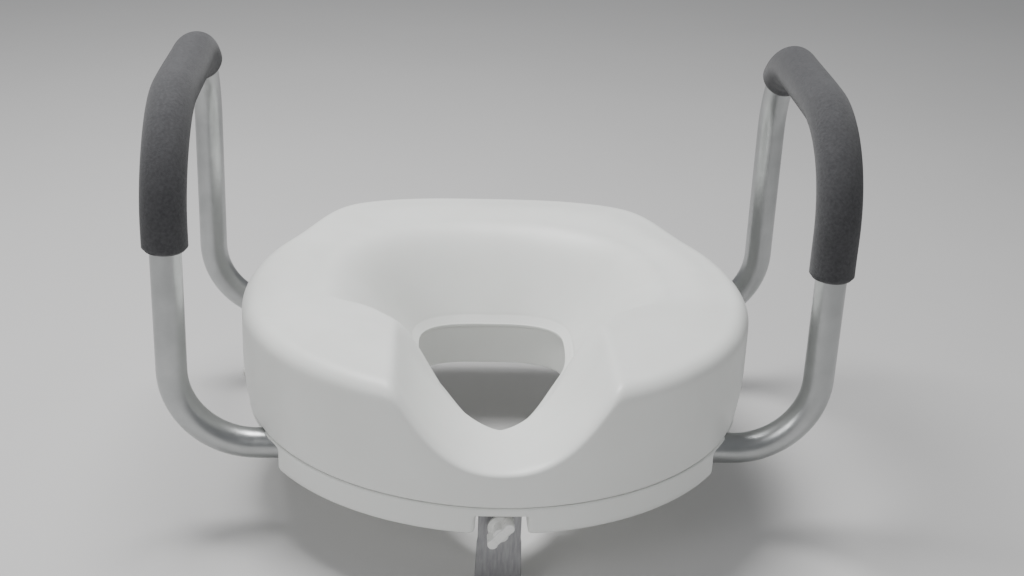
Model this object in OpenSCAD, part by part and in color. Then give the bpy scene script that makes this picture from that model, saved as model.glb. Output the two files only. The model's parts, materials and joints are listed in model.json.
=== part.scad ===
// Raised toilet seat with a front clamp and two padded aluminium arms.
// Millimetres, +Z up, +Y towards the back of the seat, origin on the floor under the middle of the bounding box.

/* [Seat body] */
// Width of the seat body at its widest
body_w = 432; // [424:1:436]
// Distance from the middle of the outline to the front of the body
body_front = 206; // [202:1:208]
// Distance from the middle of the outline to the back of the body
body_back = 226; // [222:1:230]
// Height that the seat adds to the bowl
raise_h = 127; // [122:1:130]
// Wall thickness of the moulded shells
wall_t = 2.5; // [2.3:0.1:2.6]
// Height of the base shell's band below the parting line
band_h = 29; // [29:0.5:30]
// Half width of the base shell between its flat sides
side_x = 178; // [174:1:180]

/* [Opening] */
// Half width of the opening
open_a = 67; // [65:1:70]
// Middle of the opening, behind the middle of the outline
open_y = 55; // [52:1:57]
// Length of the opening in front of its middle
open_front = 177; // [171:1:179]
// Length of the opening behind its middle
open_back = 47; // [44:1:49]
// Half width of the hygiene recess in the front
dip_w = 84; // [78:0.5:88]
// Share of the front wall's height that is left in the middle of the recess
dip_low = 0.333; // [0.3:0.01:0.4]

/* [Arms] */
// Outside diameter of the arm tubes
tube_d = 25.4; // [25:0.1:25.4]
// Wall thickness of the arm tubes
tube_wall = 1.6; // [1.2:0.1:1.8]
// Half of the distance between the two arms, to the tube axes
arm_x = 265; // [255:1:270]
// Position of the front legs, from the middle of the outline
arm_front_y = -82; // [-84:1:-80]
// Position of the rear legs, from the middle of the outline
arm_back_y = 190; // [186:1:191]
// Height of the top rail above the stubs, between the axes
arm_h = 275; // [250:1:300]
// Radius of the two lower bends of an arm, to the axis
bend_low = 66; // [60:1:70]
// Radius of the two upper bends of an arm, to the axis
bend_high = 84; // [76:1:90]
// Outside diameter of the foam grips
grip_d = 38; // [34:1:38]
// Height of the left grip's lower end above the stub's axis
left_grip_low = 172; // [150:1:180]
// Height of the right grip's lower end above the stub's axis
right_grip_low = 158; // [140:1:175]
// Angle round the rear upper bend at which the left grip ends
left_grip_turn = 40; // [30:1:60]
// Angle round the rear upper bend at which the right grip ends
right_grip_turn = 46; // [30:1:60]

/* [Clamp] */
// Height of the bowl's rim above the feet of the clamp and hooks
rim_z = 60; // [60:1:64]
// Width of the clamp strap
strap_w = 34; // [33:0.5:34]
// Distance between the two ends of the knob's wing
knob_d = 27; // [24:0.2:27]
// Diameter of the clamp screw
screw_d = 6; // [5:0.5:6]

/* [Hidden] */
$fn = 64;

// Heights
pad_proud = 2;
base_z = rim_z + pad_proud;
part_z = base_z + band_h;
top_z = rim_z + raise_h;
floor_t = 3;
floor_z = base_z + floor_t;
stub_z = base_z + tube_d / 2 + 2.8;
rail_z = stub_z + arm_h;
collar_z = part_z + 10;
seam = 0.3;
fit_gap = 0.05;

// The outline's middle is moved so that the bounding box is centred
seat_y = (body_front - body_back) / 2;

// Rings of the body: each is a closed curve around the opening, walked by the angle u.
// u = 0 is the right side, 90 the back, 180 the left side and 270 the front.
rings_n = 60;
outline_n = 96;
body_a = body_w / 2;
open_wall = 3;
open_gap = 2;

function mix(a, b, t) = a + (b - a) * t;
function smooth(a, b, x) = let (t = max(0, min(1, (x - a) / (b - a)))) t * t * (3 - 2 * t);
function bulge(v, n) = sign(v) * pow(abs(v), 2 / n);
function folded(u) = asin(min(1, abs(sin(u))));
function is_back(u) = sin(u) > 0;
function ring(u, y, a, front, back, n) =
    [a * bulge(cos(u), n), y + (is_back(u) ? back : front) * bulge(sin(u), n)];

// Outer wall, taken in by d: round in front, squarer towards the rear corners
function wall_n(u) = is_back(u) ? 2 + 0.95 * smooth(30, 65, folded(u)) : 2;
function wall(u, d) = ring(u, 0, body_a - d, body_front - d, body_back - d, wall_n(u));
// How far the wall leans in at the parting line: most at the sides
function low_inset(u) = 0.5 + 4 * pow(cos(u), 2);
// Inner edge of the seating surface, where it turns down into the funnel
crest_y = 20;
crest_a = 150;
crest_front = 160;
crest_back = 151;
function crest_n(u) = is_back(u) ? 2.3 : 2.1 - smooth(0, 35, folded(u));
function crest(u) = ring(u, crest_y, crest_a, crest_front, crest_back, crest_n(u));
// Edge of the opening, let out by e
function opening(u, e) = ring(u, open_y, open_a + e, open_front + e, open_back + e, is_back(u) ? 3 : 1.8);
function lip_z(u) = part_z + 13 + (is_back(u) ? 0
    : 8 * smooth(0, 60, folded(u)) + 12 * exp(-pow((folded(u) - 42) / 22, 2)));

// Radius of the rounded top edge: smallest at the back
roll_back = 10;
roll_side = 14;
roll_front = 14;
function roll(u) = mix(roll_side, is_back(u) ? roll_back : roll_front, pow(sin(u), 2));

// Share of the height that is left over a point, so that the front recess is cut as a U channel
dip_power = 2.4;
dip_start = -95;
dip_end = -35;
function channel(x) = min(1, pow(abs(x) / dip_w, dip_power));
function dipped(p) = 1 - (1 - dip_low) * (1 - channel(p[0])) * (1 - smooth(dip_start, dip_end, p[1]));
function over(p, z) = [p[0], p[1], part_z + (z - part_z) * dipped(p)];

crown = 1.5;
crest_drop = 3;
roll_steps = [20, 42, 64, 86];
crest_steps = [0.2, 0.5, 0.8];
funnel_steps = [0.15, 0.3, 0.45, 0.6, 0.75, 0.88];
function wall_profile(u) = [
    over(wall(u, low_inset(u)), part_z),
    over(wall(u, low_inset(u) * 0.5), part_z + 14),
    over(wall(u, 0), part_z + 42),
    over(wall(u, 0), top_z - crown - roll(u))
];
function roll_profile(u) = [
    for (a = roll_steps)
        over(wall(u, roll(u) * (1 - cos(a))), top_z - crown - roll(u) * (1 - sin(a)))
];
function crest_profile(u) = [
    for (t = crest_steps)
        over(mix(wall(u, roll(u)), crest(u), t), top_z - crown + crown * sin(180 * t) - crest_drop * t * t)
];
// The funnel drops steeply beside the recess, and evenly at the back
function funnel_bend(u) = is_back(u) ? 1 : 1 - 0.26 * smooth(0, 25, folded(u)) * (1 - smooth(62, 85, folded(u)));
function crest_top(u) = over(crest(u), top_z - crown - crest_drop)[2];
function funnel_profile(u) = [
    for (t = concat([0], funnel_steps, [1]))
        let (p = mix(crest(u), opening(u, 0), t))
            [p[0], p[1], lip_z(u) + (crest_top(u) - lip_z(u)) * pow(cos(90 * pow(t, funnel_bend(u))), 1.1)]
];
function lip_profile(u) = [
    let (p = opening(u, 0.4)) [p[0], p[1], mix(lip_z(u), collar_z, 0.5)],
    let (p = opening(u, 0.4)) [p[0], p[1], collar_z + seam]
];
function profile(u) = concat(wall_profile(u), roll_profile(u), crest_profile(u), funnel_profile(u), lip_profile(u));

// Second skin of the shell, wall_t inside the first one
function unit(v) = v / norm(v);
function inward(g, i, j) =
    let (
        n = len(g),
        m = len(g[0]),
        along = g[(i + 1) % n][j] - g[(i + n - 1) % n][j],
        across = g[i][min(j + 1, m - 1)] - g[i][max(j - 1, 0)]
    )
    g[i][j] + unit(cross(across, along)) * wall_t;

module shell_solid() {
    outer = [for (i = [0 : rings_n - 1]) profile((i + 0.5) * 360 / rings_n)];
    m = len(outer[0]);
    inner = [for (i = [0 : rings_n - 1]) [for (j = [0 : m - 1])
        let (p = inward(outer, i, j))
            [p[0], p[1], j == 0 ? part_z : j == m - 1 ? collar_z + seam : p[2]]]];
    loop = [for (i = [0 : rings_n - 1]) concat(outer[i], [for (j = [m - 1 : -1 : 0]) inner[i][j]])];
    k = 2 * m;
    points = [for (i = [0 : rings_n - 1]) for (p = loop[i]) p];
    faces = [
        for (i = [0 : rings_n - 1]) for (j = [0 : k - 1])
            let (
                a = i * k + j,
                b = i * k + (j + 1) % k,
                c = ((i + 1) % rings_n) * k + (j + 1) % k,
                d = ((i + 1) % rings_n) * k + j
            )
            each [[a, b, c], [a, c, d]]
    ];
    polyhedron(points, faces, convexity = 10);
}

// Push pins that hold the two shells together, and the inset of the wall at height h over the parting line
pin_h = 16;
pin_r = 2.4;
pin_angles = [-3, 183, 68, 112];
pin_depth = 12;
function inset_at(u, h) = low_inset(u) * (h < 14 ? 1 - h / 28 : (42 - h) / 56);
module at_pins() {
    for (u = pin_angles) {
        p = wall(u, inset_at(u, pin_h));
        q = wall(u + 1, inset_at(u, pin_h)) - wall(u - 1, inset_at(u, pin_h));
        translate([p[0], p[1], part_z + pin_h])
            rotate([0, 0, atan2(q[1], q[0]) - 90])
            rotate([0, 90, 0])
            children();
    }
}

module top_shell() {
    color([0.87, 0.88, 0.85])
    difference() {
        shell_solid();
        at_pins() cylinder(r = pin_r + 0.1, h = 24, center = true);
    }
}

module shell_pins() {
    color([0.93, 0.93, 0.91])
    at_pins() {
        translate([0, 0, -pin_depth]) cylinder(r = pin_r, h = pin_depth + 0.8);
        translate([0, 0, 0.8]) cylinder(r = 3.6, h = 1.2);
        translate([0, 0, 2]) cylinder(r1 = 3.6, r2 = 2.2, h = 1);
    }
}

// Base shell
module body_plan(d) {
    polygon([for (i = [0 : outline_n - 1])
        let (u = (i + 0.5) * 360 / outline_n) wall(u, low_inset(u) + d)]);
}
module band_plan(d) {
    intersection() {
        body_plan(d);
        square([2 * (side_x - d), 3 * body_w], center = true);
    }
}
module opening_plan(e) {
    polygon([for (i = [0 : outline_n - 1]) opening((i + 0.5) * 360 / outline_n, e)]);
}

sleeve_wall = 3;
// The sleeves stand up past the parting line, clear of the top shell's wall
sleeve_inset = 14;
sleeve_r = tube_d / 2 + sleeve_wall;
bore_r = tube_d / 2 + 0.15;
stub_in_front = 96;
stub_in_back = 70;
front_button_x = 150;
back_button_x = 105;
button_r = 3.5;
button_hole_r = 4;
deck_t = 2.7;
deck_w = 22;

// Runs its children for the right and left side
module both_sides() {
    for (side = [0, 1]) mirror([side, 0, 0]) children();
}
module stub_sleeve(y, x_in) {
    translate([x_in - 4, y, stub_z]) rotate([0, 90, 0]) cylinder(r = sleeve_r, h = side_x - x_in + 4);
}
module stub_bore(y, x_in) {
    translate([x_in, y, stub_z]) rotate([0, 90, 0]) cylinder(r = bore_r, h = body_w);
}
module button_hole(x, y) {
    translate([x, y, base_z - 5]) cylinder(r = button_hole_r, h = 12);
}

// Clamp positions, from the middle of the outline
clamp_travel = 15;
knob_front = 1 - body_front;
screw_z = rim_z + 5.5;
notch_w = 20;
notch_top = part_z - 7.5;
notch_r = 11;
notch_edge_r = 5;
notch_wall = 3;
strap_y = -body_front + 24;
strap_t = 3;
notch_back = strap_y + strap_t + clamp_travel + 4;
nut_w = 10;
nut_t = 8;
nut_y = notch_back + 10;
leg_z = screw_z + 11;
leg_back = notch_back + 16;
rail_gap = 0.4;
guide_l = 26;
rail_y = notch_back + 3 + guide_l / 2;
guide_hole_x = strap_w / 2 + 6;
guide_top = leg_z + strap_t + 0.6;
hook_x = 104;
hook_y = open_y + open_back - 2;
hook_w = 34;
hook_t = 8;
hook_screw_x = 9;
hook_screw_y = hook_y - 14;
pad_r = 14;
pad_stem_r = 4;
pad_spots = [[95, -body_front + 71], [110, 150]];
boss_r = 5;
screw_room_back = open_y - open_front - open_gap - open_wall - 0.5;
// Skirt inside the bowl's front, against which the strap clamps
skirt_bottom = 42;
skirt_back = -80;

module notch() {
    front = -body_front - 10;
    translate([-notch_w, front, base_z - 5]) cube([2 * notch_w, notch_back - front, notch_top - base_z + 5]);
    // Rounded lower corners
    both_sides() translate([notch_w, front, base_z]) rotate([-90, 0, 0])
        difference() {
            translate([-1, -notch_r, 0]) cube([notch_r + 1, notch_r + 1, notch_back - front]);
            translate([notch_r, -notch_r, -1]) cylinder(r = notch_r, h = 2 * body_w);
        }
    // Rounded upright edges
    both_sides() translate([notch_w, -body_front, base_z - 1])
        difference() {
            translate([-1, -1, 0]) cube([notch_edge_r + 1, notch_edge_r + 1, notch_top - base_z + 1]);
            translate([notch_edge_r, notch_edge_r + 1, -1]) cylinder(r = notch_edge_r, h = 2 * band_h);
        }
}
// Walls and roof round the notch, with a slot for the strap's top leg in the back one
module notch_walls() {
    translate([-notch_w - notch_wall, -body_front, base_z])
        cube([2 * (notch_w + notch_wall), notch_back + notch_wall + body_front, notch_top + notch_wall - base_z]);
}
module leg_slot() {
    translate([-strap_w / 2 - rail_gap, notch_back - 1, leg_z - rail_gap])
        cube([strap_w + 2 * rail_gap, notch_wall + 2, strap_t + 2 * rail_gap]);
}

module clamp_guides() {
    both_sides() {
        translate([strap_w / 2 + rail_gap, rail_y - guide_l / 2, base_z])
            cube([3, guide_l, guide_top - base_z]);
        translate([strap_w / 2 - 4.6, rail_y - guide_l / 2, base_z])
            cube([6, guide_l, leg_z - 0.3 - base_z]);
        translate([guide_hole_x, rail_y, base_z]) cylinder(r = boss_r, h = guide_top - base_z);
    }
    translate([-nut_w / 2 - 3, nut_y - nut_t / 2 - 3, base_z])
        cube([nut_w + 6, nut_t + 6, screw_z + nut_w / 2 - base_z + 1]);
}
module clamp_cuts() {
    notch();
    leg_slot();
    translate([-nut_w / 2 - 0.1, nut_y - nut_t / 2 - 0.1, screw_z - nut_w / 2 - 0.1])
        cube([nut_w + 0.2, nut_t + 0.2, 40]);
    along_screw(notch_back - 10, screw_room_back - notch_back + 10, screw_d / 2 + 0.6);
    both_sides() translate([guide_hole_x, rail_y, guide_top - 10]) cylinder(r = 1.9, h = 12);
}

module base_shell() {
    color([0.85, 0.86, 0.83])
    difference() {
        union() {
            difference() {
                translate([0, 0, base_z]) linear_extrude(part_z - seam - base_z) band_plan(0);
                translate([0, 0, floor_z]) linear_extrude(band_h) band_plan(wall_t + 0.5);
            }
            // Deck that closes the overhang of the top shell
            difference() {
                translate([0, 0, part_z - seam - deck_t]) linear_extrude(deck_t) body_plan(0);
                translate([0, 0, part_z - band_h]) linear_extrude(2 * band_h) body_plan(deck_w);
            }
            deck_bridges();
            translate([0, 0, base_z]) linear_extrude(collar_z - base_z) opening_plan(open_gap + open_wall);
            intersection() {
                union() {
                    both_sides() {
                        stub_sleeve(arm_front_y, stub_in_front);
                        stub_sleeve(arm_back_y, stub_in_back);
                    }
                    clamp_guides();
                    notch_walls();
                }
                union() {
                    translate([0, 0, base_z]) linear_extrude(part_z - seam - base_z) band_plan(0);
                    translate([0, 0, base_z]) linear_extrude(2 * band_h) band_plan(sleeve_inset);
                }
            }
            both_sides() for (dx = [-hook_screw_x, hook_screw_x])
                translate([hook_x + dx, hook_screw_y, base_z]) cylinder(r = boss_r, h = 14);
            pin_tabs();
        }
        translate([0, 0, base_z - 1]) linear_extrude(collar_z) opening_plan(open_gap);
        both_sides() {
            stub_bore(arm_front_y, stub_in_front);
            stub_bore(arm_back_y, stub_in_back);
            button_hole(front_button_x, arm_front_y);
            button_hole(back_button_x, arm_back_y);
            for (dx = [-hook_screw_x, hook_screw_x])
                translate([hook_x + dx, hook_screw_y, base_z - 1]) cylinder(r = 2.4, h = 13);
            for (spot = pad_spots)
                translate([spot[0], spot[1], base_z - 1]) cylinder(r = pad_stem_r + 0.05, h = floor_t + 2);
        }
        clamp_cuts();
        at_pins() translate([0, 0, -20]) cylinder(r = pin_r + fit_gap, h = 22);
    }
}
// Skirt that is pressed into the front of the opening's collar and reaches down inside the bowl's front
module bowl_skirt() {
    color([0.85, 0.86, 0.83])
    intersection() {
        difference() {
            union() {
                translate([0, 0, skirt_bottom]) linear_extrude(base_z - fit_gap - skirt_bottom)
                    opening_plan(open_gap + open_wall);
                translate([0, 0, base_z - 1]) linear_extrude(collar_z - base_z - 1) opening_plan(open_gap - fit_gap);
            }
            translate([0, 0, skirt_bottom - 1]) linear_extrude(collar_z) opening_plan(0.5);
        }
        translate([-body_w / 2, -body_front, 0]) cube([body_w, body_front + skirt_back, collar_z]);
    }
}
// The deck reaches in to the flat sides of the band, over the space under the overhang
module deck_bridges() {
    both_sides() intersection() {
        translate([0, 0, part_z - seam - deck_t]) linear_extrude(deck_t) body_plan(0);
        translate([side_x - 10, -body_front, 0]) cube([body_a, body_front + body_back, 2 * part_z]);
    }
}
// Upright tabs inside the top shell's wall, one behind each push pin
module pin_tabs() {
    at_pins() translate([-8, -9, -pin_depth]) cube([pin_h + 8 + 5, 18, 5]);
}

// Arms: drawn on the right side and mirrored to the left
module arm_bend_low(y, r) {
    translate([arm_x - bend_low, y, stub_z + bend_low]) rotate([90, 0, 0]) rotate([0, 0, -90])
        rotate_extrude(angle = 90) translate([bend_low, 0]) circle(r = r);
}
// Bend that runs from the end of the rail through the angle turn, forwards
module arm_bend_high(turn, r) {
    rotate([90, 0, 90]) rotate([0, 0, 90])
        rotate_extrude(angle = turn) translate([bend_high, 0]) circle(r = r);
}
module arm_leg(y, low, r) {
    translate([arm_x, y, low]) cylinder(r = r, h = rail_z - bend_high - low);
}
// The front leg from the height low, the rail, and the rear bend through the angle turn
module arm_loop(low, turn, r) {
    arm_leg(arm_front_y, low, r);
    translate([arm_x, arm_front_y + bend_high, rail_z - bend_high]) arm_bend_high(90, r);
    translate([arm_x, arm_front_y + bend_high, rail_z]) rotate([-90, 0, 0])
        cylinder(r = r, h = arm_back_y - arm_front_y - 2 * bend_high);
    translate([arm_x, arm_back_y - bend_high, rail_z - bend_high]) mirror([0, 1, 0]) arm_bend_high(turn, r);
}
module arm_path(r, extra) {
    arm_loop(stub_z + bend_low, 90, r);
    arm_leg(arm_back_y, stub_z + bend_low, r);
    for (end = [[arm_front_y, stub_in_front], [arm_back_y, stub_in_back]]) {
        arm_bend_low(end[0], r);
        translate([end[1] - extra, end[0], stub_z]) rotate([0, 90, 0])
            cylinder(r = r, h = arm_x - bend_low - end[1] + extra);
    }
}
module arm_tube() {
    color([0.72, 0.73, 0.75])
    difference() {
        arm_path(tube_d / 2, 0);
        arm_path(tube_d / 2 - tube_wall, 1);
        for (spot = [[front_button_x, arm_front_y], [back_button_x, arm_back_y]])
            translate([spot[0], spot[1], base_z - 1]) cylinder(r = button_r + 0.3, h = 12);
    }
}
module grip(low, turn) {
    color([0.25, 0.25, 0.26])
    difference() {
        arm_loop(stub_z + low, turn, grip_d / 2);
        arm_loop(stub_z + low - 1, turn + 1, tube_d / 2 + fit_gap);
    }
}
module end_plugs() {
    color([0.15, 0.15, 0.16])
    for (end = [[arm_front_y, stub_in_front], [arm_back_y, stub_in_back]])
        translate([end[1] + 0.1, end[0], stub_z]) rotate([0, 90, 0])
            difference() {
                cylinder(r = tube_d / 2 - tube_wall - 0.05, h = 9);
                translate([0, 0, 2]) cylinder(r = tube_d / 2 - tube_wall - 2.5, h = 10);
            }
}

// Snap buttons: a pin with a flange inside the tube, pushed out through the sleeve by a bent leaf
button_tip = base_z - 0.4;
flange_z = stub_z - tube_d / 2 + tube_wall + 1.2;
flange_t = 1.5;
module button(x, y) {
    color([0.78, 0.79, 0.8])
    translate([x, y, 0]) {
        translate([0, 0, button_tip + 1]) cylinder(r = button_r, h = flange_z - button_tip - 1);
        translate([0, 0, button_tip]) cylinder(r1 = button_r - 1, r2 = button_r, h = 1);
        translate([0, 0, flange_z]) cylinder(r = 4.6, h = flange_t);
    }
}
leaf_t = 0.6;
leaf_w = 7;
leaf_l = 30;
leaf_low = flange_z + flange_t + 0.1;
leaf_high = stub_z + 10.2;
module leaf_spring(x, y) {
    color([0.6, 0.62, 0.65])
    translate([x + 6, y + leaf_w / 2, 0]) rotate([90, 0, 0]) linear_extrude(leaf_w)
        polygon([
            [0, leaf_low], [-leaf_l + 2, (leaf_low + leaf_high) / 2 - 1], [-leaf_l + 2, (leaf_low + leaf_high) / 2 + 1],
            [0, leaf_high], [0, leaf_high - leaf_t], [-leaf_l + 4, (leaf_low + leaf_high) / 2],
            [0, leaf_low + leaf_t]
        ]);
}

module left_arm_tube() mirror([1, 0, 0]) arm_tube();
module right_arm_tube() arm_tube();
module left_grip() mirror([1, 0, 0]) grip(left_grip_low, left_grip_turn);
module right_grip() grip(right_grip_low, right_grip_turn);
module left_end_plugs() mirror([1, 0, 0]) end_plugs();
module right_end_plugs() end_plugs();
module left_front_button() mirror([1, 0, 0]) button(front_button_x, arm_front_y);
module left_rear_button() mirror([1, 0, 0]) button(back_button_x, arm_back_y);
module right_front_button() button(front_button_x, arm_front_y);
module right_rear_button() button(back_button_x, arm_back_y);
module left_front_spring() mirror([1, 0, 0]) leaf_spring(front_button_x, arm_front_y);
module left_rear_spring() mirror([1, 0, 0]) leaf_spring(back_button_x, arm_back_y);
module right_front_spring() leaf_spring(front_button_x, arm_front_y);
module right_rear_spring() leaf_spring(back_button_x, arm_back_y);

// Clamp: the knob turns the screw in the nut, and the strap travels with the screw
knob_back = strap_y - 1.8;
wing_back = knob_front + 13;
wing_turn = 48;
wing_end_r = 4;
module along_screw(y, h, r) {
    translate([0, y, screw_z]) rotate([-90, 0, 0]) cylinder(r = r, h = h);
}
module lock_knob() {
    color([0.93, 0.93, 0.91])
    difference() {
        union() {
            along_screw(knob_front + 2, knob_back - knob_front - 2, 6);
            along_screw(wing_back, 3, 10);
            translate([0, wing_back + 0.5, screw_z]) rotate([90, -wing_turn, 0]) {
                for (end = [-1, 1])
                    translate([end * (knob_d / 2 - wing_end_r), 0, 0]) cylinder(r = wing_end_r, h = 13.5);
                translate([wing_end_r - knob_d / 2, 0.5 - wing_end_r, 0])
                    cube([knob_d - 2 * wing_end_r, 2 * wing_end_r - 1, 13]);
            }
        }
        along_screw(knob_front + 5, 40, screw_d / 2 + fit_gap);
    }
}
module clamp_screw() {
    color([0.62, 0.63, 0.65])
    along_screw(knob_front + 5, leg_back - knob_front - 5, screw_d / 2);
}
module ring_on_screw(y, t, r, bore) {
    difference() {
        along_screw(y, t, r);
        along_screw(y - 1, t + 2, bore);
    }
}
module thrust_washer() {
    color([0.7, 0.71, 0.73]) ring_on_screw(knob_back, 1.7, 8, screw_d / 2 + fit_gap);
}
module retaining_clip() {
    color([0.35, 0.36, 0.38]) ring_on_screw(strap_y + strap_t + 0.1, 1.2, 6.8, screw_d / 2 + fit_gap);
}
module clamp_nut() {
    color([0.68, 0.69, 0.7])
    difference() {
        translate([-nut_w / 2, nut_y - nut_t / 2, screw_z - nut_w / 2]) cube([nut_w, nut_t, nut_w]);
        along_screw(nut_y - nut_t, 2 * nut_t, screw_d / 2 + fit_gap);
    }
}
flare_z = 46;
flare_w = 38;
foot_l = 16;
module clamp_strap() {
    color([0.55, 0.56, 0.58])
    difference() {
        union() {
            translate([0, strap_y + strap_t, 0]) rotate([90, 0, 0]) linear_extrude(strap_t)
                polygon([
                    [-flare_w / 2, 0], [flare_w / 2, 0], [strap_w / 2 + 0.6, flare_z], [strap_w / 2, flare_z + 4],
                    [strap_w / 2, leg_z + strap_t], [-strap_w / 2, leg_z + strap_t],
                    [-strap_w / 2, flare_z + 4], [-strap_w / 2 - 0.6, flare_z]
                ]);
            translate([-strap_w / 2, strap_y, leg_z]) cube([strap_w, leg_back - strap_y, strap_t]);
            translate([-flare_w / 2, strap_y, 0]) cube([flare_w, foot_l, strap_t]);
        }
        along_screw(strap_y - 5, 12, screw_d / 2 + 0.5);
    }
}
// Rubber pad that faces +Y, with grooves above and below a plain middle
pad_h = 30;
groove_d = 1.5;
module grooved_pad(w, t) {
    difference() {
        cube([w, t, pad_h]);
        for (z = [3, 7, pad_h - 9, pad_h - 5]) translate([-1, t - groove_d, z]) cube([w + 2, 2, 2]);
    }
}
module strap_pad() {
    color([0.12, 0.12, 0.12])
    translate([-15, strap_y + strap_t, 16]) grooved_pad(30, 6);
}
module guide_plate() {
    color([0.6, 0.61, 0.63])
    difference() {
        translate([-strap_w / 2 - 11, rail_y - guide_l / 2, guide_top]) cube([strap_w + 22, guide_l, 2]);
        both_sides() translate([guide_hole_x, rail_y, guide_top - 1]) cylinder(r = 2.2, h = 4);
    }
}
module guide_screws() {
    color([0.7, 0.71, 0.73])
    both_sides() translate([guide_hole_x, rail_y, guide_top - 9]) {
        cylinder(r = 1.85, h = 11);
        translate([0, 0, 11]) difference() {
            cylinder(r = 3.6, h = 2.2);
            translate([0, 0, 1]) cylinder(r = 1.8, h = 2, $fn = 6);
        }
    }
}

// Rear hooks, screwed under the floor, that reach down inside the bowl
flange_l = 27;
module rear_hook() {
    color([0.86, 0.87, 0.84])
    difference() {
        union() {
            translate([hook_x - hook_w / 2, hook_y - flange_l, base_z - 5]) cube([hook_w, flange_l + hook_t, 5]);
            translate([hook_x - hook_w / 2, hook_y, 0]) cube([hook_w, hook_t, base_z - 4]);
            translate([hook_x - hook_w / 2, hook_y - 8, 0]) cube([hook_w, 10, 6]);
            translate([hook_x - 2, hook_y + 1, 0]) rotate([90, 0, 90]) linear_extrude(4)
                polygon([[0, 8], [0, base_z - 4], [-flange_l + 2, base_z - 4], [-flange_l + 2, base_z - 8]]);
        }
        for (dx = [-hook_screw_x, hook_screw_x])
            translate([hook_x + dx, hook_screw_y, base_z - 6]) cylinder(r = 2.8, h = 8);
    }
}
module hook_pad() {
    color([0.12, 0.12, 0.12])
    translate([hook_x - 14, hook_y + hook_t, 18]) grooved_pad(28, 5);
}
module left_rear_hook() mirror([1, 0, 0]) rear_hook();
module right_rear_hook() rear_hook();
module left_hook_pad() mirror([1, 0, 0]) hook_pad();
module right_hook_pad() hook_pad();
module hook_screws() {
    color([0.7, 0.71, 0.73])
    both_sides() for (dx = [-hook_screw_x, hook_screw_x])
        translate([hook_x + dx, hook_screw_y, base_z - 5]) {
            cylinder(r = 2.35, h = 15);
            translate([0, 0, -2.6]) difference() {
                cylinder(r = 4.4, h = 2.6);
                translate([0, 0, -1]) cylinder(r = 2, h = 2.5, $fn = 6);
            }
        }
}
module rim_pads() {
    color([0.12, 0.12, 0.12])
    both_sides() for (spot = pad_spots) translate([spot[0], spot[1], rim_z]) {
        cylinder(r = pad_r, h = pad_proud);
        translate([0, 0, pad_proud]) cylinder(r = pad_stem_r, h = floor_t);
        translate([0, 0, pad_proud + floor_t]) cylinder(r1 = pad_stem_r + 1, r2 = pad_stem_r - 1, h = 2.5);
    }
}

module seated() translate([0, seat_y, 0]) children();

seated() top_shell();
seated() base_shell();
seated() bowl_skirt();
seated() left_arm_tube();
seated() right_arm_tube();
seated() left_grip();
seated() right_grip();
seated() left_end_plugs();
seated() right_end_plugs();
seated() left_front_button();
seated() left_rear_button();
seated() right_front_button();
seated() right_rear_button();
seated() left_front_spring();
seated() left_rear_spring();
seated() right_front_spring();
seated() right_rear_spring();
seated() lock_knob();
seated() clamp_screw();
seated() thrust_washer();
seated() retaining_clip();
seated() clamp_nut();
seated() clamp_strap();
seated() strap_pad();
seated() guide_plate();
seated() guide_screws();
seated() left_rear_hook();
seated() right_rear_hook();
seated() left_hook_pad();
seated() right_hook_pad();
seated() hook_screws();
seated() rim_pads();
seated() shell_pins();
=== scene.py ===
"""Looks of the raised toilet seat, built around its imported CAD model. Metres, +Z up, +Y to the back."""

import json
import math

import bpy
import numpy as np
from mathutils import Matrix, Vector

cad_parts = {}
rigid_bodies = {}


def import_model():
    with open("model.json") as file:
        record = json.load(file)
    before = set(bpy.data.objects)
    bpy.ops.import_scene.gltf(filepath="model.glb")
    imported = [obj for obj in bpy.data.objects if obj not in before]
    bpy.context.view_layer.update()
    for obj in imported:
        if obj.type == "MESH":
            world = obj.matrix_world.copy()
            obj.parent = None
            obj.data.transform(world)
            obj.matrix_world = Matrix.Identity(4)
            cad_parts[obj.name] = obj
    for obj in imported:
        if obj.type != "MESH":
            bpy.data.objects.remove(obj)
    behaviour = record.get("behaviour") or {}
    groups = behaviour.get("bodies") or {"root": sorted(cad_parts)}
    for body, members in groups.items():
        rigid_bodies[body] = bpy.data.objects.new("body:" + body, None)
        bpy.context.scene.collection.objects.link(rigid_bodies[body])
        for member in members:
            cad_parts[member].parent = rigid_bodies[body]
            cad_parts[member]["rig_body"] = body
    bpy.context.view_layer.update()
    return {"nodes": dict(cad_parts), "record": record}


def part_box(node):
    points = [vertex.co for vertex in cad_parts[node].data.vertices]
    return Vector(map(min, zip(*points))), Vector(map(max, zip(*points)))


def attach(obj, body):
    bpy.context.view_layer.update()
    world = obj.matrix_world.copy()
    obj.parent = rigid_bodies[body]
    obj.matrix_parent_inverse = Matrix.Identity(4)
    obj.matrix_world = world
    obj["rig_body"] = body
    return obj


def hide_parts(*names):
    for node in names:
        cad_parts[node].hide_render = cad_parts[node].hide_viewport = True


MM = 0.001

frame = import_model()
nodes = frame["nodes"]

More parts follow.
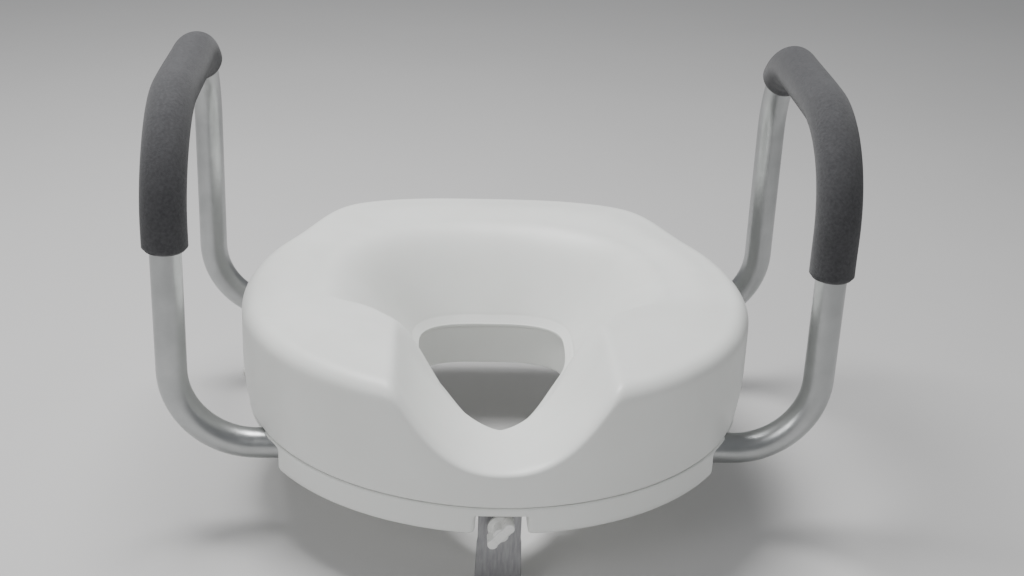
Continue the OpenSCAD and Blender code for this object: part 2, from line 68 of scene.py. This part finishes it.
# Sizes of the body, in metres, as the CAD source has them
ROUND_FRONT = 0.206
ROUND_BACK = 0.226
WALL = 0.0025
OPEN_HALF = 0.067
OPEN_Y = 0.055
OPEN_FRONT = 0.177
OPEN_BACK = 0.047
CREST_Y = 0.020
CREST_HALF = 0.150
CREST_FRONT = 0.160
CREST_BACK = 0.151
DIP_HALF = 0.084
DIP_LOW = 0.333
DIP_POWER = 2.4
DIP_START = 0.095
DIP_END = 0.035
LEAN_HEIGHT = 0.042
FOOT_TUCK = 0.0016
FOOT_HEIGHT = 0.0025
CROWN = 0.0015
CREST_DROP = 0.003
FUNNEL_POWER = 1.1
COLLAR_RISE = 0.0103
LIP_RADIUS = 0.0012

# Sizes of the arms, and the angle in degrees at which each grip ends round the rear bend
TUBE_R = 0.0127
BEND_HIGH = 0.084
GRIP_TURN = {"left": 40, "right": 46}

shell_low, shell_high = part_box("top_shell")
BODY_HALF = (shell_high.x - shell_low.x) / 2
SEAT_Y = (shell_high.y + shell_low.y - ROUND_BACK + ROUND_FRONT) / 2
BODY_FRONT = SEAT_Y - shell_low.y
BODY_BACK = shell_high.y - SEAT_Y
PART_Z = shell_low.z
TOP_Z = shell_high.z


# ---------------------------------------------------------------- mesh helpers
def mesh_object(name, points, faces, smooth=True):
    mesh = bpy.data.meshes.new(name)
    mesh.from_pydata([tuple(p) for p in points], [], faces)
    mesh.update()
    mesh.polygons.foreach_set("use_smooth", [smooth] * len(mesh.polygons))
    made = bpy.data.objects.new(name, mesh)
    bpy.context.scene.collection.objects.link(made)
    return made


def grid_faces(rows, columns, close_columns=False):
    """Quads between the points of a grid that is stored row after row."""
    faces = []
    for i in range(rows - 1):
        for j in range(columns if close_columns else columns - 1):
            a = i * columns + j
            b = i * columns + (j + 1) % columns
            c = (i + 1) * columns + (j + 1) % columns
            d = (i + 1) * columns + j
            faces.append((a, b, c, d))
    return faces


def apply_modifiers(piece):
    """Replaces a piece's mesh with what its modifiers make of it."""
    graph = bpy.context.evaluated_depsgraph_get()
    mesh = bpy.data.meshes.new_from_object(piece.evaluated_get(graph))
    piece.modifiers.clear()
    piece.data = mesh
    mesh.polygons.foreach_set("use_smooth", [True] * len(mesh.polygons))


def softened(node, voxel, passes, share=1.0):
    """A CAD node remade as a moulded piece: the same solid with its edges rounded by a few voxels."""
    body = nodes[node]["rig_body"]
    piece = bpy.data.objects.new(node + "_moulded", nodes[node].data.copy())
    piece.data.materials.clear()
    bpy.context.scene.collection.objects.link(piece)
    remesh = piece.modifiers.new("remesh", "REMESH")
    remesh.mode = "VOXEL"
    remesh.voxel_size = voxel
    ease = piece.modifiers.new("ease", "SMOOTH")
    ease.factor = 0.5
    ease.iterations = passes
    if share < 1:
        fewer = piece.modifiers.new("fewer", "DECIMATE")
        fewer.ratio = share
    apply_modifiers(piece)
    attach(piece, body)
    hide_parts(node)
    return piece


# ---------------------------------------------------------------- materials
class Finish:
    """A procedural material: a Principled shader fed by noise in the object's own coordinates."""

    def __init__(self, name, color, roughness, metallic=0.0, specular=0.5):
        self.material = bpy.data.materials.new(name)
        self.material.use_nodes = True
        self.tree = self.material.node_tree
        self.shader = self.tree.nodes["Principled BSDF"]
        self.shader.inputs["Base Color"].default_value = (*color, 1)
        self.shader.inputs["Roughness"].default_value = roughness
        self.shader.inputs["Metallic"].default_value = metallic
        self.shader.inputs["Specular IOR Level"].default_value = specular
        self.place = self.tree.nodes.new("ShaderNodeTexCoord").outputs["Object"]
        self.normal = None

    def link(self, source, target):
        self.tree.links.new(source, target)

    def noise(self, scale, detail=3.0, stretch=(1, 1, 1)):
        mapping = self.tree.nodes.new("ShaderNodeMapping")
        mapping.inputs["Scale"].default_value = stretch
        self.link(self.place, mapping.inputs["Vector"])
        texture = self.tree.nodes.new("ShaderNodeTexNoise")
        texture.inputs["Scale"].default_value = scale
        texture.inputs["Detail"].default_value = detail
        self.link(mapping.outputs["Vector"], texture.inputs["Vector"])
        return texture.outputs["Fac"]

    def cells(self, scale, randomness=1.0):
        texture = self.tree.nodes.new("ShaderNodeTexVoronoi")
        texture.inputs["Scale"].default_value = scale
        texture.inputs["Randomness"].default_value = randomness
        self.link(self.place, texture.inputs["Vector"])
        return texture.outputs["Distance"]

    def spread(self, value, low, high, to_low, to_high):
        """Maps a value's range low to high onto to_low to to_high."""
        node = self.tree.nodes.new("ShaderNodeMapRange")
        for name, number in (("From Min", low), ("From Max", high), ("To Min", to_low), ("To Max", to_high)):
            node.inputs[name].default_value = number
        self.link(value, node.inputs["Value"])
        return node.outputs["Result"]

    def tint(self, value, dark, light):
        """Base colour between two colours, by a value from 0 to 1."""
        node = self.tree.nodes.new("ShaderNodeMix")
        node.data_type = "RGBA"
        node.inputs[6].default_value = (*dark, 1)
        node.inputs[7].default_value = (*light, 1)
        self.link(value, node.inputs[0])
        self.link(node.outputs[2], self.shader.inputs["Base Color"])
        return node.outputs[2]

    def rough(self, value):
        self.link(value, self.shader.inputs["Roughness"])

    def bump(self, height, distance, strength=1.0):
        node = self.tree.nodes.new("ShaderNodeBump")
        node.inputs["Distance"].default_value = distance
        node.inputs["Strength"].default_value = strength
        self.link(height, node.inputs["Height"])
        if self.normal:
            self.link(self.normal, node.inputs["Normal"])
        self.normal = node.outputs["Normal"]
        self.link(self.normal, self.shader.inputs["Normal"])


def moulded_white():
    """Blow-moulded plastic: slightly uneven, with a fine satin texture and faint handling marks."""
    f = Finish("moulded_white", (0.80, 0.81, 0.785), 0.42)
    f.tint(f.spread(f.noise(14, 5), 0.3, 0.7, 0, 1), (0.775, 0.785, 0.755), (0.82, 0.83, 0.805))
    f.rough(f.spread(f.noise(60, 4), 0.3, 0.7, 0.36, 0.48))
    f.bump(f.noise(26, 2), 0.0006, 0.5)
    f.bump(f.noise(900, 2), 0.00006, 0.6)
    return f.material


def smooth_white():
    """Injection-moulded knob and pins: whiter and glossier than the shell."""
    f = Finish("smooth_white", (0.86, 0.86, 0.84), 0.3)
    f.tint(f.noise(120, 3), (0.83, 0.83, 0.81), (0.88, 0.88, 0.86))
    f.rough(f.spread(f.noise(300, 3), 0.3, 0.7, 0.24, 0.36))
    f.bump(f.noise(700, 2), 0.00004, 0.5)
    return f.material


def nylon():
    """Hooks: slightly translucent white nylon with a matt skin."""
    f = Finish("nylon", (0.78, 0.79, 0.76), 0.5)
    f.tint(f.noise(60, 3), (0.75, 0.76, 0.73), (0.80, 0.81, 0.78))
    f.bump(f.noise(1100, 2), 0.00005, 0.6)
    return f.material


def satin_aluminium():
    """Anodised tube: a blasted satin skin with faint cloudy streaks."""
    f = Finish("satin_aluminium", (0.44, 0.45, 0.45), 0.34, metallic=1.0)
    f.tint(f.spread(f.noise(30, 4), 0.3, 0.7, 0, 1), (0.40, 0.41, 0.41), (0.49, 0.50, 0.50))
    f.rough(f.spread(f.noise(220, 3), 0.3, 0.7, 0.28, 0.36))
    f.bump(f.noise(3000, 2), 0.00003, 0.5)
    return f.material


def foam():
    """Closed-cell foam: dark, dull, with a skin of fine cells."""
    f = Finish("foam", (0.05, 0.05, 0.053), 0.85, specular=0.3)
    f.shader.inputs["Sheen Weight"].default_value = 0.15
    f.shader.inputs["Sheen Roughness"].default_value = 0.6
    f.tint(f.spread(f.noise(420, 4), 0.3, 0.7, 0, 1), (0.038, 0.038, 0.041), (0.062, 0.062, 0.066))
    f.rough(f.spread(f.noise(90, 3), 0.3, 0.7, 0.78, 0.92))
    f.bump(f.cells(1500), 0.00035, 0.5)
    f.bump(f.noise(500, 4), 0.0003, 0.5)
    return f.material


def rubber():
    f = Finish("rubber", (0.03, 0.03, 0.03), 0.6)
    f.tint(f.noise(200, 4), (0.022, 0.022, 0.022), (0.04, 0.04, 0.038))
    f.rough(f.spread(f.noise(150, 3), 0.3, 0.7, 0.5, 0.72))
    f.bump(f.noise(1400, 3), 0.0001, 0.6)
    return f.material


def black_plastic():
    f = Finish("black_plastic", (0.03, 0.03, 0.03), 0.45)
    f.tint(f.noise(150, 3), (0.025, 0.025, 0.025), (0.035, 0.035, 0.036))
    f.bump(f.noise(1200, 2), 0.00005, 0.6)
    return f.material


def strip_steel():
    """Zinc plated strap: dull grey with rolling marks along its length and a few scratches."""
    f = Finish("strip_steel", (0.36, 0.36, 0.37), 0.45, metallic=0.9)
    f.tint(f.spread(f.noise(90, 5, (6, 6, 1)), 0.3, 0.7, 0, 1), (0.31, 0.31, 0.32), (0.41, 0.41, 0.42))
    f.rough(f.spread(f.noise(160, 4, (5, 5, 1)), 0.3, 0.7, 0.34, 0.55))
    f.bump(f.noise(400, 3, (8, 8, 1)), 0.00005, 0.6)
    return f.material


def plated_steel():
    f = Finish("plated_steel", (0.55, 0.56, 0.58), 0.3, metallic=1.0)
    f.tint(f.noise(250, 4), (0.48, 0.49, 0.51), (0.62, 0.63, 0.64))
    f.rough(f.spread(f.noise(400, 3), 0.3, 0.7, 0.22, 0.4))
    f.bump(f.noise(1500, 2), 0.00003, 0.5)
    return f.material


# The record's material slots and what each looks like here
finishes = {
    "white_shell": moulded_white(),
    "white_trim": smooth_white(),
    "white_nylon": nylon(),
    "satin_tube": satin_aluminium(),
    "foam": foam(),
    "rubber": rubber(),
    "black_plastic": black_plastic(),
    "strap_steel": strip_steel(),
    "spring_steel": plated_steel(),
    "button_steel": plated_steel(),
    "zinc_steel": plated_steel(),
}
slot_of = {s["node"]: s["material_slot"] for s in frame["record"]["subparts"]}


def paint(piece, slot_name):
    piece.data.materials.clear()
    piece.data.materials.append(finishes[slot_name])


# ---------------------------------------------------------------- the body's surface
AROUND = 360
turn = np.radians((np.arange(AROUND) + 0.5) * 360 / AROUND)
cos_turn = np.cos(turn)
sin_turn = np.sin(turn)
folded = np.degrees(np.arcsin(np.abs(sin_turn)))
at_back = sin_turn > 0


def mix(a, b, t):
    return a + (b - a) * t


def ease(a, b, x):
    t = np.clip((x - a) / (b - a), 0, 1)
    return t * t * (3 - 2 * t)


def bulge(v, n):
    return np.sign(v) * np.abs(v) ** (2 / n)


def ring(y, half, front, back, n):
    """Closed curve round the opening, as one (x, y) for each turn."""
    reach = np.where(at_back, back, front)
    return np.stack([half * bulge(cos_turn, n), SEAT_Y + y + reach * bulge(sin_turn, n)], -1)


wall_n = np.where(at_back, 2 + 0.95 * ease(30, 65, folded), 2)
crest_ring = ring(
    CREST_Y, CREST_HALF, CREST_FRONT, CREST_BACK, np.where(at_back, 2.3, 2.1 - ease(0, 35, folded))
)
lip_ring = ring(OPEN_Y, OPEN_HALF, OPEN_FRONT, OPEN_BACK, np.where(at_back, 3, 1.8))
lip_rise = 8 * ease(0, 60, folded) + 12 * np.exp(-(((folded - 42) / 22) ** 2))
lip_z = PART_Z + MM * (13 + np.where(at_back, 0, lip_rise))
low_inset = MM * (0.5 + 4 * cos_turn**2)
roll = MM * mix(14, np.where(at_back, 10, 14), sin_turn**2)
funnel_bend = np.where(at_back, 1, 1 - 0.26 * ease(0, 25, folded) * (1 - ease(62, 85, folded)))


def wall_ring(inset):
    return ring(0, BODY_HALF - inset, BODY_FRONT - inset, BODY_BACK - inset, wall_n)


def channel(points, z):
    """Lowers heights over the parting line along the round-bottomed recess in the front."""
    share = np.minimum(1, (np.abs(points[:, 0]) / DIP_HALF) ** DIP_POWER)
    along = 1 - ease(SEAT_Y - DIP_START, SEAT_Y - DIP_END, points[:, 1])
    left = 1 - (1 - DIP_LOW) * (1 - share) * along
    return np.column_stack([points, PART_Z + (z - PART_Z) * left])


def body_rows():
    """Rows of points from the parting line over the wall, crest and funnel to the edge of the opening."""
    rows = []
    straight = TOP_Z - CROWN - roll - PART_Z
    for t in np.concatenate([np.linspace(0, 0.03, 6)[:-1], np.linspace(0.03, 1, 24)]):
        h = straight * t
        inset = low_inset * np.clip(1 - h / LEAN_HEIGHT, 0, 1) ** 1.7
        inset = inset + FOOT_TUCK * np.clip(1 - h / FOOT_HEIGHT, 0, 1) ** 2
        rows.append(channel(wall_ring(inset), PART_Z + h))
    for a in np.radians(np.linspace(0, 90, 16)[1:]):
        rows.append(channel(wall_ring(roll * (1 - np.cos(a))), TOP_Z - CROWN - roll * (1 - np.sin(a))))
    shoulder = wall_ring(roll)
    for t in np.linspace(0, 1, 24)[1:]:
        z = TOP_Z - CROWN + CROWN * math.sin(math.pi * t) ** 2 - CREST_DROP * t * t
        rows.append(channel(mix(shoulder, crest_ring, t), z))
    crest_z = rows[-1][:, 2]
    for t in np.linspace(0, 1, 40)[1:]:
        drop = np.maximum(np.cos(math.pi / 2 * t**funnel_bend), 0) ** FUNNEL_POWER
        z = lip_z + (crest_z - lip_z) * drop
        rows.append(np.column_stack([mix(crest_ring, lip_ring, t), z]))
    return np.array(rows)


def resampled(rows, steps):
    """The same surface with each profile's points spaced by the given shares of its length."""
    lengths = np.linalg.norm(np.diff(rows, axis=0), axis=2)
    along = np.vstack([np.zeros(rows.shape[1]), np.cumsum(lengths, axis=0)])
    made = np.empty((len(steps), rows.shape[1], 3))
    for i in range(rows.shape[1]):
        for k in range(3):
            made[:, i, k] = np.interp(steps * along[-1, i], along[:, i], rows[:, i, k])
    return made


def eased_grid(rows, passes):
    """Rounds creases off: each point moves towards the mean of its neighbours, but both edges stay."""
    for _ in range(passes):
        around = (np.roll(rows, 1, axis=1) + np.roll(rows, -1, axis=1)) / 2
        mean = rows.copy()
        mean[1:-1] = (rows[:-2] + rows[2:]) / 4 + around[1:-1] / 2
        rows = mix(rows, mean, 0.5)
    return rows


def grid_normals(rows):
    """Outward unit normals of a grid that runs up the wall and closes round the opening."""
    around = np.roll(rows, -1, axis=1) - np.roll(rows, 1, axis=1)
    across = np.gradient(rows, axis=0)
    n = np.cross(around, across)
    return n / np.linalg.norm(n, axis=2, keepdims=True)


def lip_detail(rows):
    """A raised bead round the opening, with a fine groove outside it."""
    step = np.linalg.norm(np.diff(rows, axis=0), axis=2)[::-1]
    from_lip = np.vstack([np.zeros(rows.shape[1]), np.cumsum(step, axis=0)])[::-1]
    bead = 0.0007 * np.exp(-((from_lip / 0.005) ** 2))
    groove = -0.0005 * np.exp(-(((from_lip - 0.0085) / 0.0014) ** 2))
    front = np.where(at_back, 0.35, 1.0)
    return rows + grid_normals(rows) * ((bead + groove * front)[:, :, None])


def lip_skirt(rows):
    """The rounded edge of the opening and the short flange under it."""
    edge = rows[-1]
    centre = np.array([0, SEAT_Y + OPEN_Y, 0])
    inward = (edge - centre) * np.array([1, 1, 0])
    inward /= np.linalg.norm(inward, axis=1, keepdims=True)
    made = []
    for a in np.radians(np.linspace(15, 90, 6)):
        down = np.array([0, 0, LIP_RADIUS * (1 - math.cos(a))])
        made.append(edge - inward * LIP_RADIUS * math.sin(a) * 0.5 - down)
    foot = made[-1].copy()
    foot[:, 2] = PART_Z + COLLAR_RISE
    for t in (0.5, 1.0):
        made.append(mix(made[-1], foot, t))
    return np.concatenate([rows, np.array(made)])


def make_top_shell():
    foot = np.linspace(0, 0.015, 7)[:-1]
    middle = np.linspace(0.015, 0.93, 170)[:-1]
    steps = np.concatenate([foot, middle, np.linspace(0.93, 1, 26)])
    rows = resampled(body_rows(), steps)
    rows = eased_grid(rows, 7)
    rows = lip_skirt(lip_detail(rows))
    count = len(rows)
    points = rows.reshape(-1, 3)
    piece = mesh_object("seat_body", points, grid_faces(count, AROUND, close_columns=True))
    solid = piece.modifiers.new("wall", "SOLIDIFY")
    solid.thickness = WALL
    solid.offset = -1
    apply_modifiers(piece)
    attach(piece, "seat")
    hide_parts("top_shell")
    return piece


body_piece = make_top_shell()
paint(body_piece, "white_shell")



def tuck_bottom(piece):
    """Rounds the base's bottom edge: the lowest few millimetres of its outer wall turn in and up."""
    mesh = piece.data
    points = np.empty(len(mesh.vertices) * 3)
    mesh.vertices.foreach_get("co", points)
    points = points.reshape(-1, 3)
    low = points[:, 2].min()
    side = np.abs(points[:, 0]).max()
    t = np.clip(1 - (points[:, 2] - low) / 0.010, 0, 1)
    y = points[:, 1] - SEAT_Y
    length = np.where(y > 0, BODY_BACK, BODY_FRONT)
    power = np.where(y > 0, 2.8, 2.0)
    reach = ((np.abs(points[:, 0]) / BODY_HALF) ** power + (np.abs(y) / length) ** power) ** (1 / power)
    at_wall = ease(0.86, 0.97, reach)
    at_side = ease(side - 0.030, side - 0.004, np.abs(points[:, 0]))
    points[:, 0] *= 1 - 0.025 * t**2 * np.maximum(at_wall, at_side)
    points[:, 1] -= y * 0.022 * t**2 * at_wall
    points[:, 2] += 0.005 * t**2 * np.maximum(at_wall, at_side)
    mesh.vertices.foreach_set("co", points.ravel())
    mesh.update()


base_piece = softened("base_shell", 0.0015, 4, share=0.5)
tuck_bottom(base_piece)
paint(base_piece, "white_shell")


# ---------------------------------------------------------------- foam grips
def loop_path(node, turn, step):
    """Points along a grip's axis in Y and Z: up the front leg, over the rail and part of the rear bend."""
    low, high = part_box(node)
    r = (high.x - low.x) / 2
    bend = BEND_HIGH
    front, rail = low.y + r, high.z - r
    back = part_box(node.replace("grip", "arm_tube"))[1].y - TUBE_R
    pieces = [
        ("line", (front, low.z), (front, rail - bend)),
        ("arc", (front + bend, rail - bend), math.pi, math.pi / 2),
        ("line", (front + bend, rail), (back - bend, rail)),
        ("arc", (back - bend, rail - bend), math.pi / 2, math.pi / 2 - turn),
    ]
    points = []
    for kind, a, b, *rest in pieces:
        if kind == "line":
            n = max(2, round(math.dist(a, b) / step))
            points += [mix(np.array(a), np.array(b), t) for t in np.linspace(0, 1, n, endpoint=False)]
        else:
            start, end = b, rest[0]
            n = round(bend * abs(start - end) / step)
            for t in np.linspace(0, 1, n, endpoint=False):
                angle = mix(start, end, t)
                points.append(np.array(a) + bend * np.array([math.cos(angle), math.sin(angle)]))
    points.append(np.array([back - bend, rail - bend]) + bend * np.array([math.sin(turn), math.cos(turn)]))
    return (low.x + high.x) / 2, r, np.array(points)


def spokes(around, out):
    """Unit directions round a grip's axis, where out is the direction away from the bend's middle."""
    return np.cos(around)[:, None] * np.array([0, *out]) + np.sin(around)[:, None] * np.array([1, 0, 0])


def make_grip(side):
    """A foam tube over the arm: uneven along its length, rounded at its ends, creased inside its bends."""
    node = side + "_grip"
    x, r, path = loop_path(node, math.radians(GRIP_TURN[side]), 0.0025)
    heading = np.gradient(path, axis=0)
    heading /= np.linalg.norm(heading, axis=1, keepdims=True)
    out = np.column_stack([-heading[:, 1], heading[:, 0]])
    along = np.concatenate([[0], np.cumsum(np.linalg.norm(np.diff(path, axis=0), axis=1))])
    total = along[-1]
    curve = np.linalg.norm(np.gradient(heading, axis=0), axis=1) / np.gradient(along)
    bent = np.clip(curve * BEND_HIGH, 0, 1)
    bent = np.convolve(bent, np.ones(9) / 9, mode="same")
    sides = 64
    around = np.arange(sides) * 2 * math.pi / sides
    phase = 0.4 if side == "left" else 1.7
    rows = []
    for i, p in enumerate(path):
        s = along[i]
        to_end = min(s, total - s)
        rounded = 0.0022 * (1 - math.sqrt(max(0, 1 - (1 - min(1, to_end / 0.0022)) ** 2)))
        uneven = 0.00025 * np.sin(around * 2 + s * 21 + phase) + 0.0002 * np.sin(around * 3 - s * 47 + phase)
        inside = np.clip(-np.cos(around), 0, 1) ** 2
        crease = -0.0005 * bent[i] * inside * (0.5 + 0.5 * math.cos(s * 2 * math.pi / 0.017)) ** 2
        radius = r - 0.0005 - rounded + uneven + crease
        rows.append(np.array([x, *p]) + spokes(around, out[i]) * radius[:, None])
    bore = []
    for i in (len(path) - 1, 0):
        centre = np.array([x, *path[i]])
        across = spokes(around, out[i])
        inward = np.array([0, *heading[i]]) * (-1 if i else 1)
        for radius, depth in ((0.0162, 0), (0.0134, 0.0002), (0.01285, 0.0012), (0.01285, 0.012)):
            bore.append((i, centre + across * radius + inward * depth))
    first = [b for i, b in bore if i == 0]
    last = [b for i, b in bore if i]
    grid = np.array(first[::-1] + rows + last)
    faces = grid_faces(len(grid), sides, close_columns=True)
    piece = mesh_object(side + "_foam_grip", grid.reshape(-1, 3), faces)
    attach(piece, nodes[node]["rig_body"])
    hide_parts(node)
    paint(piece, "foam")
    return piece


for side in ("left", "right"):
    make_grip(side)

# ---------------------------------------------------------------- small moulded and metal pieces
MOULDED = {
    "lock_knob": (0.0004, 6),
    "left_rear_hook": (0.0008, 4),
    "right_rear_hook": (0.0008, 4),
    "clamp_strap": (0.0006, 3),
    "strap_pad": (0.0005, 3),
    "left_hook_pad": (0.0005, 3),
    "right_hook_pad": (0.0005, 3),
    "rim_pads": (0.0006, 3),
    "shell_pins": (0.0004, 3),
}
for node, (voxel, passes) in MOULDED.items():
    piece = softened(node, voxel, passes)
    paint(piece, slot_of[node])

for name, node in nodes.items():
    if not node.hide_render:
        paint(node, slot_of[name])
        node.data.polygons.foreach_set("use_smooth", [True] * len(node.data.polygons))

# ---------------------------------------------------------------- floor, light and camera
def softbox(name, place, target, width, height, power, tone=(1, 1, 1)):
    light = bpy.data.lights.new(name, "AREA")
    light.shape = "RECTANGLE"
    light.size = width
    light.size_y = height
    light.energy = power
    light.color = tone
    lamp = bpy.data.objects.new(name, light)
    lamp.location = place
    lamp.rotation_euler = (Vector(target) - Vector(place)).to_track_quat("-Z", "Y").to_euler()
    bpy.context.scene.collection.objects.link(lamp)


def studio():
    floor = mesh_object("floor", [(-9, -9, 0), (9, -9, 0), (9, 9, 0), (-9, 9, 0)], [(0, 1, 2, 3)])
    f = Finish("pale_floor", (0.6, 0.6, 0.6), 0.8, specular=0.2)
    f.tint(f.noise(3, 4), (0.58, 0.575, 0.57), (0.62, 0.615, 0.61))
    f.bump(f.noise(400, 3), 0.0002, 0.3)
    floor.data.materials.append(f.material)
    softbox("top_box", (-0.35, 0.25, 1.7), (0, 0, 0.1), 0.8, 0.7, 36)
    softbox("left_box", (-1.2, -1.5, 1.1), (0, 0, 0.15), 0.9, 0.9, 11)
    softbox("right_box", (1.7, -0.9, 1.0), (0, 0, 0.15), 0.9, 0.9, 4)
    world = bpy.data.worlds.new("studio")
    world.use_nodes = True
    world.node_tree.nodes["Background"].inputs["Color"].default_value = (0.9, 0.92, 0.95, 1)
    world.node_tree.nodes["Background"].inputs["Strength"].default_value = 0.30
    bpy.context.scene.world = world


CAMERA_PLACE = (-0.0633, -1.2618, 0.7321)
CAMERA_PITCH = 23.57
CAMERA_YAW = 3.489
CAMERA_ROLL = 2.357


def camera():
    """A long lens that looks slightly down and to the right, as tilted as a hand-held one."""
    lens = bpy.data.cameras.new("camera")
    lens.sensor_width = 36
    lens.lens = 56.25
    lens.clip_start = 0.05
    view = bpy.data.objects.new("camera", lens)
    bpy.context.scene.collection.objects.link(view)
    yaw, pitch, tilt = (math.radians(a) for a in (CAMERA_YAW, CAMERA_PITCH, CAMERA_ROLL))
    ahead = Vector((math.sin(yaw) * math.cos(pitch), math.cos(yaw) * math.cos(pitch), -math.sin(pitch)))
    level = Vector((math.cos(yaw), -math.sin(yaw), 0))
    above = level.cross(ahead)
    right = level * math.cos(tilt) + above * math.sin(tilt)
    up = above * math.cos(tilt) - level * math.sin(tilt)
    turned = Matrix((right, up, -ahead)).transposed()
    view.matrix_world = Matrix.Translation(CAMERA_PLACE) @ turned.to_4x4()
    bpy.context.scene.camera = view


studio()
camera()
